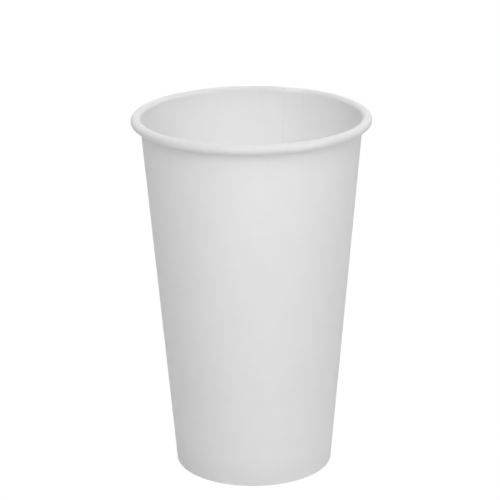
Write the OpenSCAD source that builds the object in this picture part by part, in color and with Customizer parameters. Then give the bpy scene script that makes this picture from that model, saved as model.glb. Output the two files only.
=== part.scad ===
// Paper cup for hot drinks, 16 oz size with a 90 mm rim: a conical side wall of one coated sheet
// with a rolled rim, a lapped side seam and a folded hem, and a flat base disc with a skirt that
// is held in the hem. Millimetres. The cup stands on z = 0 and its axis is Z.

/* [Cup] */
// Height over the rolled rim
cup_h = 138; // [100:0.5:170]
// Outside diameter of the rolled rim
rim_d = 90; // [84:0.5:98]
// Outside diameter of the wall at the foot
foot_d = 60; // [54:0.5:66]

/* [Board] */
// Thickness of the side wall's board
wall_t = 0.36; // [0.28:0.01:0.48]
// Thickness of the base disc's board
base_t = 0.32; // [0.26:0.01:0.42]
// Space left for the seal between two bonded faces
seal_gap = 0.02; // [0.01:0.01:0.04]

/* [Rolled rim] */
// Outside diameter of the roll
roll_d = 3.7; // [3.2:0.1:4.6]
// How far the sheet's end runs on inside the roll, in degrees
roll_tail = 75; // [30:5:100]

/* [Side seam] */
// Direction of the sheet's inner edge, in degrees from +X
seam_dir = 72; // [0:1:359]
// Width over which the sheet's two ends lap
seam_w = 8; // [5:0.5:12]
// Width over which the outer end steps out over the inner one
seam_ramp = 1.8; // [1.2:0.1:2.4]
// Depth of the step where the seam is pressed into the roll
roll_step = 0.14; // [0.1:0.02:0.2]

/* [Foot and base] */
// Height of the base disc's upper face over the table
base_z = 9; // [8.5:0.5:14]
// Outside radius of the bend from the disc to its skirt
bend_r = 0.8; // [0.6:0.1:1.4]
// Height of the hem that is folded in and up
hem_h = 6.5; // [4:0.5:7]
// Space between the skirt's cut edge and the fold
skirt_gap = 0.3; // [0.1:0.1:0.6]

/* [Hidden] */
$fn = 120;
roll_r = roll_d / 2;
foot_r = foot_d / 2;

// Centre of the roll's section, and its place from the wall's outer line at the foot.
roll_x = rim_d / 2 - roll_r;
roll_z = cup_h - roll_r;
run = roll_x - foot_r;
reach = sqrt(run * run + roll_z * roll_z);

// Lean of the wall, so that its inner face runs into the roll as a tangent.
lean = acos((roll_r - wall_t) / reach) - atan2(roll_z, run);

// In the wall's own frame x runs out of its outer face and y runs up along it from the foot.
roll_c = roll_r - wall_t;
roll_y = run * sin(lean) + roll_z * cos(lean);
pitch = wall_t + seal_gap;
hem_out = -wall_t - base_t - 2 * seal_gap;
hem_in = hem_out - wall_t;
skirt_out = -wall_t - seal_gap;
skirt_in = skirt_out - base_t;
fold_r = 10 * wall_t / 9;
lap_top = roll_y - 0.8 * wall_t;
lap_lift = 5 * wall_t / 36;
step_top = roll_y - 1.1 * wall_t;
below = -2;
clear = 1;

// How far round the seam's ramp has come where it is x outside a face, by that face's radius.
function sag(r) = seam_ramp * seam_ramp / (2 * r);
wall_slope = seam_ramp / (wall_t + sag(roll_x));
seam_bow = seam_w * seam_w / foot_r;

// The cut into the roll is shorter and stays shallow, because the roll curves away from it.
groove_w = 8.5 * roll_step;
groove_over = 0.06;

// How far up the wall's frame a point is that lies a outside the wall and z over the table.
function up_wall(a, z) = (z + a * sin(lean)) / cos(lean);
// The same point in the section plane, as [radius, height].
function at(a, z) = [foot_r + a * cos(lean) + up_wall(a, z) * sin(lean), z];

// Lays a section that is drawn in the wall's own frame onto the cup's section plane.
module on_wall() {
    translate([foot_r, 0]) rotate(-lean) children();
}

// A strip of board from y0 to y1, between x0 and x1 of the wall's frame.
module strip(x0, x1, y0, y1) {
    translate([x0, y0]) square([x1 - x0, y1 - y0]);
}

// A bent strip of board: a ring of outer radius r and thickness t, where the children cover it.
module bent(r, t) {
    intersection() {
        difference() {
            circle(r);
            circle(r - t);
        }
        children();
    }
}

// The part of the section plane above the table.
module above_table() {
    square([rim_d, cup_h]);
}

// The roll: over the top, back under it to the wall, and up inside itself.
module roll_section() {
    side = 2 * roll_d;
    translate([roll_c, roll_y]) bent(roll_r, wall_t) {
        translate([-side / 2, 0]) square([side, side]);
    }
    translate([roll_c + pitch / 2, roll_y]) bent(roll_r - pitch / 2, wall_t) {
        translate([-side / 2, -side]) square([side, side]);
    }
    translate([roll_c, roll_y]) bent(roll_r - pitch, wall_t) polygon([
        [0, 0],
        [-side, 0],
        [-side, side * sin(roll_tail)],
        [-side * cos(roll_tail), side * sin(roll_tail)]
    ]);
}

// A square corner at the foot that is cut off to leave a round one of radius fold_r.
module fold_corner(a, dir) {
    centre = at(a - dir * fold_r, fold_r);
    difference() {
        polygon([
            centre,
            [centre.x, -clear],
            [at(a, -clear).x + dir * clear, -clear],
            [at(a, fold_r).x + dir * clear, centre.y - dir * clear * sin(lean)],
            centre + dir * fold_r * [cos(lean), -sin(lean)]
        ]);
        translate(centre) circle(fold_r);
    }
}

// Both layers of the foot and the fold that joins them.
module foot_section() {
    difference() {
        intersection() {
            on_wall() union() {
                strip(hem_in, 0, below, fold_r + wall_t);
                strip(hem_in, hem_out, fold_r, hem_h);
            }
            above_table();
        }
        fold_corner(0, 1);
        fold_corner(hem_in, -1);
        intersection() {
            on_wall() strip(hem_out, -wall_t, below, hem_h);
            translate([0, wall_t]) square([rim_d, cup_h]);
        }
    }
}

// The whole sheet in section.
module sheet_section() {
    on_wall() strip(-wall_t, 0, fold_r, roll_y);
    on_wall() roll_section();
    foot_section();
}

// A second layer in section, on the sheet's outer face at a; it ends just off the table.
module second_layer(a, dir, top) {
    axis = a - dir * fold_r;
    inner = a - dir * wall_t / 2;
    outer = a + dir * wall_t;
    far = 4 * wall_t;
    on_wall() strip(min(inner, outer), max(inner, outer), up_wall(axis, fold_r), top);
    translate(at(axis, fold_r)) bent(fold_r + wall_t, 1.5 * wall_t) polygon([
        [0, 0],
        dir * far * [cos(lean), -sin(lean)],
        [dir * far, lap_lift - fold_r],
        [0, lap_lift - fold_r]
    ]);
}

// Places a shape in the wall's frame at the seam: x out of the wall, y round the cup, z up it.
module at_seam() {
    rotate([0, 0, seam_dir]) translate([foot_r, 0, 0]) rotate([0, lean, 0]) children();
}

// A bar of even width along the wall at the seam, from y0 to y1 up the wall.
module seam_bar(y0, y1) {
    at_seam() translate([0, 0, y0]) linear_extrude(y1 - y0) children();
}

// Where the sheet's outer end lies over the inner one, outside the wall.
module wall_lap() {
    inside = -2 * wall_t;
    outside = 2 * wall_t;
    intersection() {
        rotate_extrude() second_layer(0, 1, lap_top);
        seam_bar(below, lap_top + clear) polygon([
            [inside - seam_bow, -seam_w],
            [outside, -seam_w],
            [outside, (wall_t - outside) * wall_slope],
            [inside, (wall_t - inside) * wall_slope]
        ]);
    }
}

// The same lap where it has gone round the fold and up the hem; the ramp is pressed short there.
module hem_lap() {
    inside = hem_in - 2 * wall_t - seam_bow;
    outside = hem_in + wall_t;
    intersection() {
        rotate_extrude() second_layer(hem_in, -1, hem_h);
        seam_bar(below, hem_h + clear) translate([inside, -seam_w]) {
            square([outside - inside, seam_w + seam_ramp / 2]);
        }
    }
}

// The step at the sheet's inner edge: cut down the inside of the wall, and shallow under the roll.
module inner_step() {
    deep = -wall_t - clear;
    seam_bar(base_z, step_top) polygon([
        [deep, 0],
        [0, 0],
        [deep, -deep * wall_slope]
    ]);
    seam_bar(step_top - clear, roll_y) polygon([
        [-wall_t - groove_over, 0],
        [-wall_t + roll_step, 0],
        [-wall_t - groove_over, groove_w * (1 + groove_over / roll_step)]
    ]);
}

// The same step, pressed nearly flat where it runs over the roll.
module roll_groove() {
    at_seam() translate([roll_c, 0, roll_y]) rotate([90, 0, 0]) {
        rotate_extrude(angle = 235, start = -50) polygon([
            [roll_r - roll_step, 0],
            [roll_r + groove_over, -groove_w * (1 + groove_over / roll_step)],
            [roll_r + groove_over, 0]
        ]);
    }
}

// One sheet of coated board: the wall, its rolled rim, its lapped seam and its hem.
module sidewall() {
    color([0.95, 0.95, 0.94]) difference() {
        union() {
            rotate_extrude() sheet_section();
            wall_lap();
            hem_lap();
        }
        inner_step();
        roll_groove();
    }
}

// All that lies under z and inside the wall's line a, from x0 outwards, with its corner rounded to r.
module inside_bend(x0, a, z, r) {
    far = 2 * r;
    difference() {
        polygon([
            [x0, below + x0],
            [x0, z],
            at(a, z),
            at(a, below + x0)
        ]);
        translate(at(a - r, z - r)) difference() {
            polygon([
                [0, 0],
                [0, far],
                [far, far],
                far * [cos(lean), -sin(lean)]
            ]);
            circle(r, $fn = 60);
        }
    }
}

// The disc and its skirt in section, down to the skirt's cut edge.
module base_section() {
    difference() {
        inside_bend(0, skirt_out, base_z, bend_r);
        inside_bend(-clear, skirt_in, base_z - base_t, bend_r - base_t);
        on_wall() strip(-foot_d, clear, 2 * below, wall_t + skirt_gap);
    }
}

// The base: a flat disc, bent down all round into a skirt that lies in the hem.
module base_disc() {
    color([0.93, 0.93, 0.92]) rotate_extrude() base_section();
}

sidewall();
base_disc();
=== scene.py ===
"""Looks of the paper coffee cup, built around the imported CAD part.

Two pieces replace the two CAD nodes: the sheet that makes the wall, its rolled rim, its lapped
side seam and its folded hem, and the base disc with its skirt. Both are swept from the same sizes
as the CAD source, in millimetres, and are turned into metres when their meshes are made.
"""

import math

import bpy
import numpy as np
from mathutils import Matrix, Vector


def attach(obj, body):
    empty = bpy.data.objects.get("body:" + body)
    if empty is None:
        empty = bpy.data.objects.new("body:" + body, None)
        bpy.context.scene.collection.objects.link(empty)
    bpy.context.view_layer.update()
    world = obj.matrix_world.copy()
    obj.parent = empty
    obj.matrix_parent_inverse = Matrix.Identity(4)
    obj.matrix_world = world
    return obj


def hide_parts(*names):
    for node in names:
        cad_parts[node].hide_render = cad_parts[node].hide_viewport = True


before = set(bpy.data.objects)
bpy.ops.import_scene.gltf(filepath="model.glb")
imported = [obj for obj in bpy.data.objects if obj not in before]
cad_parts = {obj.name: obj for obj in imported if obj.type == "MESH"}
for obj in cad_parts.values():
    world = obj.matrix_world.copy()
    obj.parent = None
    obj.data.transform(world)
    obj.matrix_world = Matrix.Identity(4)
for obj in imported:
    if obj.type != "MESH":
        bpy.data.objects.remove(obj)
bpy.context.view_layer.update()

MM = 0.001

# Sizes of the cup, as in the CAD source, in millimetres and degrees.
CUP_H = 138.0
RIM_D = 90.0
FOOT_D = 60.0
WALL_T = 0.36
BASE_T = 0.32
SEAL_GAP = 0.02
ROLL_D = 3.7
ROLL_TAIL = 75.0
SEAM_DIR = 72.0
SEAM_W = 8.0
SEAM_RAMP = 1.8
ROLL_STEP = 0.14
BASE_Z = 9.0
BEND_R = 0.8
HEM_H = 6.5
SKIRT_GAP = 0.3

# What follows from them; the wall's frame has x out of its outer face and y up along it.
ROLL_R = ROLL_D / 2
FOOT_R = FOOT_D / 2
RUN = RIM_D / 2 - ROLL_R - FOOT_R
RISE = CUP_H - ROLL_R
LEAN = math.acos((ROLL_R - WALL_T) / math.hypot(RUN, RISE)) - math.atan2(RISE, RUN)
ROLL_C = ROLL_R - WALL_T
ROLL_Y = RUN * math.sin(LEAN) + RISE * math.cos(LEAN)
PITCH = WALL_T + SEAL_GAP
HEM_OUT = -WALL_T - BASE_T - 2 * SEAL_GAP
HEM_IN = HEM_OUT - WALL_T
SKIRT_OUT = -WALL_T - SEAL_GAP
FOLD_R = WALL_T * 10 / 9
GROOVE_W = 8.5 * ROLL_STEP

# Details that only the looks have, in millimetres.
SEAM_EASE = 6.0         # length over which the sheet settles back beside the lap
ROLL_EASE = 7.5         # length over which the roll widens before it takes up the inner end
PRESS_W = 4.0           # width over which the lap is pressed thin in the roll
STEP_FADE = 3.0         # length below the roll over which the seam's full step begins
RAMP_W = 7.5            # width over which the sheet steps out over its inner end
RAMP_BOW = 1.5          # how late in that width the step comes; 1 is an even ramp
LINE_AT = 2.1           # faint line that the sealing bar presses beside the sheet's inner edge
LINE_W = 0.5
LINE_DEPTH = 0.07
CORNER_W = 0.4          # worn corner of the sheet's inner edge
CORNER_DEPTH = 0.05
KNURL_COUNT = 96        # ribs that the sealing wheel leaves on the hem
KNURL_DEPTH = 0.09
KNURL_RISE = 5          # the ribs begin over a fifth of the hem's height and end over a sixth
KNURL_FALL = 6
WAVE = 0.05             # how far the wall of a real cup wanders from a true cone
BASE_SAG = 0.25         # how far the base hangs down in its middle
HIDDEN_CLEAR = 0.15     # extra room for the skirt's cut edge over the lifted fold

# The waves of that wall: share, number round the cup, phase, and how the phase turns with height.
WAVES = (
    (0.55, 2, 0.8, 0.0),
    (0.3, 3, -1.1, 0.02),
    (0.15, 5, 2.0, -0.035),
)
WAVE_START, WAVE_RISE = 8, 30       # where they begin over the table, and over what height
WAVE_END, WAVE_FALL = 128, 25       # the same where they end under the rim

# Columns of the sheet beside the seam, by their distance past the seam's line. The inner end starts
# on that line, and the outer end comes up to it and runs on over the inner one.
INNER = np.concatenate([
    [0.0, 0.12, 0.25, 0.4, 0.8, 1.25],
    LINE_AT + LINE_W * np.linspace(-1, 1, 7),
    np.linspace(3.1, SEAM_W + SEAM_EASE, 16),
])
OUTER = np.concatenate([
    np.linspace(-SEAM_W, -2.2, 13),
    np.linspace(-SEAM_RAMP, 0.0, 9),
    np.linspace(0.8, SEAM_W, 9),
])
TURN = 430              # columns round the rest of the cup, counting one at each end
BASE_TURN = 360         # columns round the base

# Rows of the roll, from the sheet's end inside it: first and last angle, and how many.
ROLL_INSIDE = (180 - ROLL_TAIL, 172, 5)
ROLL_UNDER = (180, 348, 14)
ROLL_OVER = (360, 533, 27)

# Rows down the wall and up the hem, by their share of the way, and across the base, by radius.
WALL_ROWS = np.concatenate([np.linspace(0.0, 0.05, 6), np.linspace(0.09, 1.0, 20)])
HEM_ROWS = np.linspace(0.0, 1.0, 13)[1:]
BASE_ROWS = (0.02, 1.0, 3.0, 6.0, 10.0, 14.0, 18.0, 22.0, 25.0, 27.5, 29.0)

# Material slots of both pieces; the faces in the lap come LAP places after those outside it.
INSIDE, OUTSIDE, EDGE, LAP = 0, 1, 2, 3
SHARP_ANGLE = math.radians(50)

# Board: how large its clouds and fibres are, as waves per metre, and what they do.
CLOUD_SCALE, CLOUD_DETAIL = 110, 4
FIBRE_SCALE, FIBRE_DETAIL = 2600, 5
NOISE_ROUGHNESS = 0.6
FIBRE_SHARE = 0.35      # of the fibres in the tone, beside the clouds
TONE_RANGE = (0.45, 0.9)
GLOSS_SPREAD = 0.05
GRAIN_HEIGHT = 0.00003  # in metres

# The board's faces: how rough, how glossy, how grainy and how cloudy they are.
COATED = {"roughness": 0.55, "specular": 0.15, "grain": 0.12, "cloud": 0.006}
PLAIN = {"roughness": 0.7, "specular": 0.15, "grain": 0.25, "cloud": 0.01}
CUT = {"roughness": 0.9, "specular": 0.2, "grain": 0.5, "cloud": 0.02}
COATED_DEPTH = 0.3      # how far light spreads inside the coated face, in millimetres
PLAIN_DEPTH = 0.4       # the same for the plain face and the cut edges

# Lamps: azimuth and elevation in degrees, and power in watts. All are the same size in metres
# and the same way from the cup.
LAMPS = {
    "front": (-90, 50, 12.9),
    "front_right": (-45, 22, 1.8),
    "back_right": (45, 22, 3.4),
    "high_right": (45, 50, 3.0),
    "back": (90, 22, 2.2),
    "back_left": (135, 22, 5.0),
}
LAMP_DISTANCE = 1.3
LAMP_SIZE = 1.15

# Floor, with its size and height in metres, and the glow's edges in millimetres.
FLOOR_HALF = 4.0
FLOOR_Z = -0.00002
FLOOR_TONE = 0.9        # its colour for the light that it throws back on the cup
FLOOR_SHADE = 0.10      # how much of the cup's shadow the camera sees on it
FLOOR_LIGHT = 0.6       # how brightly the lamps light it, which keeps it white in the picture
FLOOR_GLOW = 0.22       # light under the cup, which shows its base from below
GLOW_FULL, GLOW_NONE = 5, 3         # how far inside the foot the glow is full and has ended


def smooth(x):
    """A ramp from 0 to 1 with soft ends."""
    x = np.clip(x, 0.0, 1.0)
    return x * x * (3 - 2 * x)


def to_section(a, y):
    """A point of the wall's frame as radius and height."""
    radius = FOOT_R + a * math.cos(LEAN) + y * math.sin(LEAN)
    return radius, y * math.cos(LEAN) - a * math.sin(LEAN)


def up_wall(a, z):
    """How far up the wall's frame a point is that lies a outside the wall and z over the table."""
    return (z + a * math.sin(LEAN)) / math.cos(LEAN)


def turned(angle):
    """A direction of the wall's frame, given by its angle, in the section plane."""
    return np.cos(angle - LEAN), np.sin(angle - LEAN)


def sheet_columns():
    """The columns of the sheet from its inner end to its outer one.

    k is the share of a whole turn and m the distance past the seam's line."""
    share = np.linspace(0.0, 1.0, TURN)[1:-1]
    k = np.concatenate([np.zeros(len(INNER)), share, np.ones(len(OUTER))])
    m = np.concatenate([INNER, INNER[-1] + (OUTER[0] - INNER[-1]) * share, OUTER])
    return k, m


def lap_state(k, m):
    """For each column: how far the sheet is stepped back on the wall and in the roll, its
    thickness in the roll, the lift of its fold and the pitch of its roll."""
    inner = k < 0.5
    at_end = (k == 0) | (k == 1)
    m = np.where(at_end, m, np.where(inner, INNER[-1], OUTER[0]))
    pressed = ROLL_STEP + (PITCH - ROLL_STEP) * smooth(m / PRESS_W)
    groove = ROLL_STEP * smooth((m + GROOVE_W) / GROOVE_W)
    step_wall = np.where(inner, 0.0, PITCH * np.clip(1 + m / RAMP_W, 0.0, 1.0) ** RAMP_BOW)
    step_roll = np.where(inner, 0.0, np.where(m < 0, groove, pressed))
    thick_roll = np.where(inner, np.minimum(WALL_T, pressed - SEAL_GAP), WALL_T)
    ease_in = 1 - smooth((m - SEAM_W) / SEAM_EASE)
    ease_out = smooth((m + SEAM_W) / ROLL_EASE)
    lift = np.where(inner, PITCH * ease_in, step_wall)
    pitch = PITCH * (1 + np.where(inner, ease_in, ease_out))
    return step_wall, step_roll, thick_roll, lift, pitch


def sheet_rows(lift, pitch):
    """The sheet's inner face in section, from the end inside the roll to the hem's cut edge.

    Gives radius, height and the direction towards the inner face for each row and column, with
    the share of the wall's own step and the share of the hem's ribs for each row."""
    one = np.ones_like(lift)
    radius, height, out_r, out_z, own, ribs = [], [], [], [], [], []

    def add(point, direction, wall_share, rib_share=0.0):
        for store, value in zip((radius, height, out_r, out_z), (*point, *direction)):
            store.append(value * one)
        own.append(wall_share)
        ribs.append(rib_share)

    def roll(start, end, count, centre, size):
        for angle in np.radians(np.linspace(start, end, count)):
            a, y = centre + size * math.cos(angle), ROLL_Y + size * math.sin(angle)
            add(to_section(a, y), turned(angle), 0.0)

    roll(*ROLL_INSIDE, ROLL_C, ROLL_R - pitch)
    roll(*ROLL_UNDER, ROLL_C + pitch / 2, ROLL_R - pitch / 2)
    roll(*ROLL_OVER, ROLL_C, ROLL_R)

    fold_y = up_wall(-FOLD_R, FOLD_R + lift)
    for share in WALL_ROWS:
        y = ROLL_Y + (fold_y - ROLL_Y) * share
        own_share = float(smooth(ROLL_Y * share / STEP_FADE))
        add(to_section(-WALL_T, y), turned(math.pi), own_share)

    def fold(centre_a, start, end, count):
        across, up = to_section(centre_a, up_wall(centre_a, FOLD_R + lift))
        size = FOLD_R - WALL_T
        for angle in np.linspace(start, end, count):
            dr, dz = math.cos(angle), math.sin(angle)
            add((across + size * dr, up + size * dz), (-dr, -dz), 1.0)

    down = -math.pi / 2
    fold(-FOLD_R, -LEAN + (down + LEAN) / 6, down, 6)
    fold(HEM_IN + FOLD_R, down, -math.pi - LEAN, 7)

    hem_y = up_wall(HEM_IN + FOLD_R, FOLD_R + lift)
    for share in HEM_ROWS:
        y = hem_y + (HEM_H - hem_y) * share
        band = float(smooth(share * KNURL_RISE) * smooth((1 - share) * KNURL_FALL))
        add(to_section(HEM_OUT, y), turned(0.0), 1.0, band)

    grids = [np.array(grid) for grid in (radius, height, out_r, out_z)]
    return grids + [np.array(own)[:, None], np.array(ribs)[:, None]]


def wander(turn, height):
    """How far the wall of a real cup is from a true cone, from -1 to 1; nothing at rim and foot."""
    total = 0.0
    for share, count, phase, twist in WAVES:
        total = total + share * np.sin(count * turn + phase + twist * height)
    begin = smooth((height - WAVE_START) / WAVE_RISE)
    return total * begin * smooth((WAVE_END - height) / WAVE_FALL)


def outward(mesh):
    """Turns the mesh inside out if its faces look inwards."""
    signed = 0.0
    for face in mesh.polygons:
        signed += face.area * face.normal.dot(face.center)
    if signed < 0:
        mesh.flip_normals()


def grid_mesh(name, faces_in, faces_out, closed, lapped=None):
    """A sheet between two grids of points (rows, columns, 3), in millimetres, closed at its edges.

    lapped is 1 for each stretch between two columns where the sheet lies double, else 0."""
    rows, cols = faces_in.shape[:2]
    points = np.concatenate([faces_in.reshape(-1, 3), faces_out.reshape(-1, 3)]) * MM
    other = rows * cols
    last = cols if closed else cols - 1
    r, c = np.meshgrid(np.arange(rows - 1), np.arange(last), indexing="ij")
    r, c = r.ravel(), c.ravel()
    d = (c + 1) % cols
    quad = np.stack([r * cols + c, r * cols + d, (r + 1) * cols + d, (r + 1) * cols + c], 1)
    quads = [quad, quad[:, ::-1] + other]
    double = np.zeros(len(c), int) if lapped is None else LAP * lapped[c]
    kinds = [double + INSIDE, double + OUTSIDE]

    c = np.arange(last)
    d = (c + 1) % cols
    end = (rows - 1) * cols
    quads.append(np.stack([c, c + other, d + other, d], 1))
    quads.append(np.stack([end + c, end + d, end + d + other, end + c + other], 1))
    if not closed:
        r = np.arange(rows - 1)
        a, b = r * cols, (r + 1) * cols
        quads.append(np.stack([a, b, b + other, a + other], 1))
        a, b = a + cols - 1, b + cols - 1
        quads.append(np.stack([a, a + other, b + other, b], 1))
    kinds.extend(np.full(len(q), EDGE) for q in quads[2:])

    mesh = bpy.data.meshes.new(name)
    mesh.from_pydata(points.tolist(), [], np.concatenate(quads).tolist())
    mesh.polygons.foreach_set("material_index", np.concatenate(kinds))
    mesh.update()
    mesh.validate()
    outward(mesh)
    return mesh


def cup_sheet_mesh():
    """The one sheet of board: roll, wall, fold and hem, with its two ends lapped at the seam."""
    k, m = sheet_columns()
    step_wall, step_roll, thick_roll, lift, pitch = lap_state(k, m)
    radius, height, nr, nz, own, ribs = sheet_rows(lift, pitch)
    turn = math.radians(SEAM_DIR) - 2 * math.pi * k - np.arcsin(m / radius)
    step = own * step_wall + (1 - own) * step_roll
    thick = own * WALL_T + (1 - own) * thick_roll
    rib = 0.5 + 0.5 * np.cos(KNURL_COUNT * turn)
    thick = thick - KNURL_DEPTH * ribs * rib ** 2
    bend = WAVE * wander(turn, height)
    corner = CORNER_DEPTH * np.clip(1 - m / CORNER_W, 0.0, 1.0) ** 2
    line = LINE_DEPTH * smooth(1 - np.abs(m - LINE_AT) / LINE_W)
    worn = np.where(k == 0, line + corner, 0.0)
    faces = []
    for depth in (step + worn, step + thick):
        r = radius - depth * nr - bend
        z = height - depth * nz
        faces.append(np.stack([r * np.cos(turn), r * np.sin(turn), z], 2))
    inner_lap = (k[:-1] == 0) & (m[1:] <= SEAM_W)
    outer_lap = (k[1:] == 1) & (m[:-1] >= 0)
    lapped = (inner_lap | outer_lap).astype(int)
    return grid_mesh("cup_sheet", faces[0], faces[1], closed=False, lapped=lapped)


def base_rows():
    """The base's outer face in section, from its middle to the skirt's cut edge.

    Gives radius, height, the direction towards the inner face and the share of the sag."""
    high = up_wall(SKIRT_OUT - BEND_R, BASE_Z - BEND_R)
    centre = to_section(SKIRT_OUT - BEND_R, high)
    rows = []
    for r in BASE_ROWS:
        rows.append((r, BASE_Z, 0.0, -1.0, (1 - (r / centre[0]) ** 2) ** 2))
    for angle in np.linspace(math.pi / 2, -LEAN, 13):
        dr, dz = math.cos(angle), math.sin(angle)
        rows.append((centre[0] + BEND_R * dr, centre[1] + BEND_R * dz, -dr, -dz, 0.0))
    low = WALL_T + SKIRT_GAP + HIDDEN_CLEAR
    for y in np.linspace(high, low, 8)[1:]:
        rows.append((*to_section(SKIRT_OUT, y), *turned(math.pi), 0.0))
    return np.array(rows)


def cup_base_mesh():
    """The base disc, which sags a little in the middle, with its bend and its skirt."""
    radius, height, nr, nz, sag = base_rows().T[:, :, None]
    turn = np.linspace(0, 2 * math.pi, BASE_TURN + 1)[:-1]
    faces = []
    for depth in (0.0, BASE_T):
        r = radius + depth * nr
        z = height + depth * nz - BASE_SAG * sag + 0 * turn
        faces.append(np.stack([r * np.cos(turn), r * np.sin(turn), z], 2))
    return grid_mesh("cup_base", faces[0], faces[1], closed=True)


def place(name, mesh, materials, node):
    """Makes the object for a mesh, shades it, and sets it in place of a CAD node."""
    piece = bpy.data.objects.new(name, mesh)
    bpy.context.scene.collection.objects.link(piece)
    for material in materials:
        mesh.materials.append(material)
    mesh.polygons.foreach_set("use_smooth", [True] * len(mesh.polygons))
    mesh.set_sharp_from_angle(angle=SHARP_ANGLE)
    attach(piece, "root")
    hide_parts(node)


def board(name, colour, roughness, specular, grain, cloud, light_depth=0.0):
    """Cup board: clouded colour, fine fibres in its surface and in its gloss, and light that
    spreads light_depth millimetres inside it."""
    material = bpy.data.materials.new(name)
    material.use_nodes = True
    tree = material.node_tree
    tree.nodes.clear()
    new, link = tree.nodes.new, tree.links.new
    out = new("ShaderNodeOutputMaterial")
    shader = new("ShaderNodeBsdfPrincipled")
    where = new("ShaderNodeTexCoord")
    link(shader.outputs["BSDF"], out.inputs["Surface"])
    shader.inputs["Specular IOR Level"].default_value = specular
    shader.inputs["Subsurface Weight"].default_value = 1.0 if light_depth else 0.0
    shader.inputs["Subsurface Radius"].default_value = (1.0, 1.0, 1.0)
    shader.inputs["Subsurface Scale"].default_value = light_depth * MM

    def noise(scale, detail):
        node = new("ShaderNodeTexNoise")
        node.inputs["Scale"].default_value = scale
        node.inputs["Detail"].default_value = detail
        node.inputs["Roughness"].default_value = NOISE_ROUGHNESS
        link(where.outputs["Object"], node.inputs["Vector"])
        return node.outputs["Fac"]

    clouds = noise(CLOUD_SCALE, CLOUD_DETAIL)
    fibres = noise(FIBRE_SCALE, FIBRE_DETAIL)
    mixed = new("ShaderNodeMath")
    mixed.operation = "MULTIPLY_ADD"
    mixed.inputs[1].default_value = FIBRE_SHARE
    link(fibres, mixed.inputs[0])
    link(clouds, mixed.inputs[2])

    tone = new("ShaderNodeValToRGB")
    for stop, position, change in zip(tone.color_ramp.elements, TONE_RANGE, (-cloud, cloud)):
        stop.position = position
        stop.color = [c * (1 + change) for c in colour] + [1]
    link(mixed.outputs[0], tone.inputs["Fac"])
    link(tone.outputs["Color"], shader.inputs["Base Color"])

    gloss = new("ShaderNodeMapRange")
    gloss.inputs["To Min"].default_value = roughness - GLOSS_SPREAD
    gloss.inputs["To Max"].default_value = roughness + GLOSS_SPREAD
    link(fibres, gloss.inputs["Value"])
    link(gloss.outputs["Result"], shader.inputs["Roughness"])

    bump = new("ShaderNodeBump")
    bump.inputs["Strength"].default_value = grain
    bump.inputs["Distance"].default_value = GRAIN_HEIGHT
    link(fibres, bump.inputs["Height"])
    link(bump.outputs["Normal"], shader.inputs["Normal"])
    return material


def camera():
    """The photograph's viewpoint, found from the cup's outline."""
    distance, height_angle = 0.8196, 0.33847
    pitch, yaw, roll = 0.32041, -0.00122, -0.00845
    focal_px, frame_px = 2139.8, 500
    data = bpy.data.cameras.new("camera")
    data.sensor_width = 36.0
    data.lens = focal_px * data.sensor_width / frame_px
    data.clip_start, data.clip_end = 0.05, 20
    obj = bpy.data.objects.new("camera", data)
    bpy.context.scene.collection.objects.link(obj)
    flat = math.cos(pitch)
    ahead = Vector((math.sin(yaw) * flat, math.cos(yaw) * flat, -math.sin(pitch)))
    level_right = Vector((math.cos(yaw), -math.sin(yaw), 0.0))
    level_up = level_right.cross(ahead)
    right = level_right * math.cos(roll) + level_up * math.sin(roll)
    up = level_up * math.cos(roll) - level_right * math.sin(roll)
    turn = Matrix((right, up, -ahead)).transposed().to_4x4()
    middle = CUP_H * MM / 2
    back = -distance * math.cos(height_angle)
    spot = (0.0, back, middle + distance * math.sin(height_angle))
    obj.matrix_world = Matrix.Translation(spot) @ turn
    bpy.context.scene.camera = obj


def softbox(name, azimuth, elevation, watts):
    """A square area light that looks at the middle of the cup."""
    data = bpy.data.lights.new(name, "AREA")
    data.size = LAMP_SIZE
    data.energy = watts
    obj = bpy.data.objects.new(name, data)
    bpy.context.scene.collection.objects.link(obj)
    a, e = math.radians(azimuth), math.radians(elevation)
    back = Vector((math.cos(a) * math.cos(e), math.sin(a) * math.cos(e), math.sin(e)))
    obj.location = back * LAMP_DISTANCE + Vector((0, 0, CUP_H * MM / 2))
    obj.rotation_mode = "QUATERNION"
    obj.rotation_quaternion = back.to_track_quat("Z", "Y")


def seen_directly(tree):
    """1 for camera, mirror and see-through rays, else 0."""
    rays = tree.nodes.new("ShaderNodeLightPath")
    total = rays.outputs["Is Camera Ray"]
    for name in ("Is Glossy Ray", "Is Transmission Ray"):
        both = tree.nodes.new("ShaderNodeMath")
        both.operation = "MAXIMUM"
        tree.links.new(total, both.inputs[0])
        tree.links.new(rays.outputs[name], both.inputs[1])
        total = both.outputs[0]
    return total


def surroundings():
    """A world that is white where it is seen and gives no light of its own."""
    world = bpy.data.worlds.new("studio")
    bpy.context.scene.world = world
    world.use_nodes = True
    tree = world.node_tree
    tree.nodes.clear()
    out = tree.nodes.new("ShaderNodeOutputWorld")
    back = tree.nodes.new("ShaderNodeBackground")
    back.inputs["Color"].default_value = (1, 1, 1, 1)
    tree.links.new(seen_directly(tree), back.inputs["Strength"])
    tree.links.new(back.outputs["Background"], out.inputs["Surface"])


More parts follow.
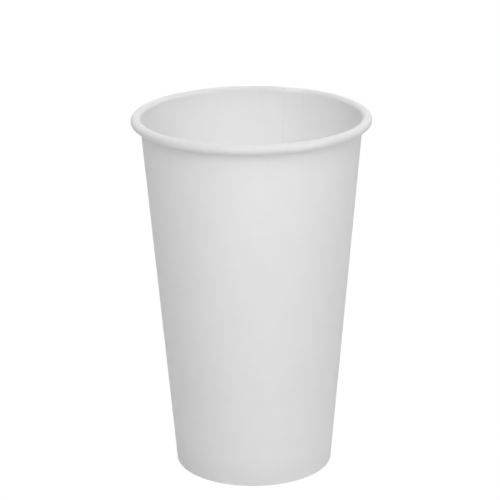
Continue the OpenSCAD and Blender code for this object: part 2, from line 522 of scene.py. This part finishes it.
def floor():
    """A pale floor that looks white, keeps some of the cup's shadow and glows a little under it.

    From below it is see-through."""
    xs, ys = (-1, 1, 1, -1), (-1, -1, 1, 1)
    corners = [(x * FLOOR_HALF, y * FLOOR_HALF, FLOOR_Z) for x, y in zip(xs, ys)]
    mesh = bpy.data.meshes.new("floor")
    mesh.from_pydata(corners, [], [(0, 1, 2, 3)])
    obj = bpy.data.objects.new("floor", mesh)
    bpy.context.scene.collection.objects.link(obj)
    material = bpy.data.materials.new("floor_white")
    material.use_nodes = True
    tree = material.node_tree
    tree.nodes.clear()
    new, link = tree.nodes.new, tree.links.new
    out = new("ShaderNodeOutputMaterial")

    def diffuse(tone):
        node = new("ShaderNodeBsdfDiffuse")
        node.inputs["Color"].default_value = (tone, tone, tone, 1)
        return node.outputs[0]

    def both(kind, *parts):
        """Two shaders added or mixed; for a mix, the share of the second one comes first."""
        node = new(kind)
        for socket, part in zip(node.inputs, parts):
            link(part, socket)
        return node.outputs[0]

    where = new("ShaderNodeTexCoord")
    away = new("ShaderNodeVectorMath")
    away.operation = "LENGTH"
    link(where.outputs["Object"], away.inputs[0])
    under = new("ShaderNodeMapRange")
    under.inputs["From Min"].default_value = (FOOT_R - GLOW_FULL) * MM
    under.inputs["From Max"].default_value = (FOOT_R - GLOW_NONE) * MM
    under.inputs["To Min"].default_value = FLOOR_GLOW
    under.inputs["To Max"].default_value = 0.0
    link(away.outputs["Value"], under.inputs["Value"])
    glow = new("ShaderNodeEmission")
    link(under.outputs["Result"], glow.inputs["Strength"])
    unseen = both("ShaderNodeAddShader", diffuse(FLOOR_TONE), glow.outputs[0])

    white = new("ShaderNodeEmission")
    white.inputs["Strength"].default_value = 1 - FLOOR_LIGHT * FLOOR_SHADE
    seen = both("ShaderNodeAddShader", diffuse(FLOOR_SHADE), white.outputs[0])

    top = both("ShaderNodeMixShader", seen_directly(tree), unseen, seen)
    side = new("ShaderNodeNewGeometry").outputs["Backfacing"]
    clear = new("ShaderNodeBsdfTransparent").outputs[0]
    link(both("ShaderNodeMixShader", side, top, clear), out.inputs["Surface"])
    mesh.materials.append(material)


camera()

coated = board("board_coated", [0.965] * 3, light_depth=COATED_DEPTH, **COATED)
outside = board("board_outside", [0.93] * 3, light_depth=PLAIN_DEPTH, **PLAIN)
# A double layer lets hardly any light through, so the board of the lap has none spread inside it.
# Painted light: the lap's colours are painted lighter than the single board's. This stands in for
# the light that the single sheet beside it lets through.
coated_lap_painted_light = board("board_coated_lap_painted_light", [0.98] * 3, **COATED)
outside_lap_painted_light = board("board_outside_lap_painted_light", [0.95] * 3, **PLAIN)
edge = board("board_edge", [0.83, 0.82, 0.80], light_depth=PLAIN_DEPTH, **CUT)

sheet_faces = (coated, outside, edge, coated_lap_painted_light, outside_lap_painted_light)
place("cup_sheet", cup_sheet_mesh(), sheet_faces, "sidewall")
place("cup_base", cup_base_mesh(), (coated, outside, edge), "base_disc")

surroundings()
for name, lamp in LAMPS.items():
    softbox(name, *lamp)
floor()

bpy.context.scene.view_settings.view_transform = "Standard"
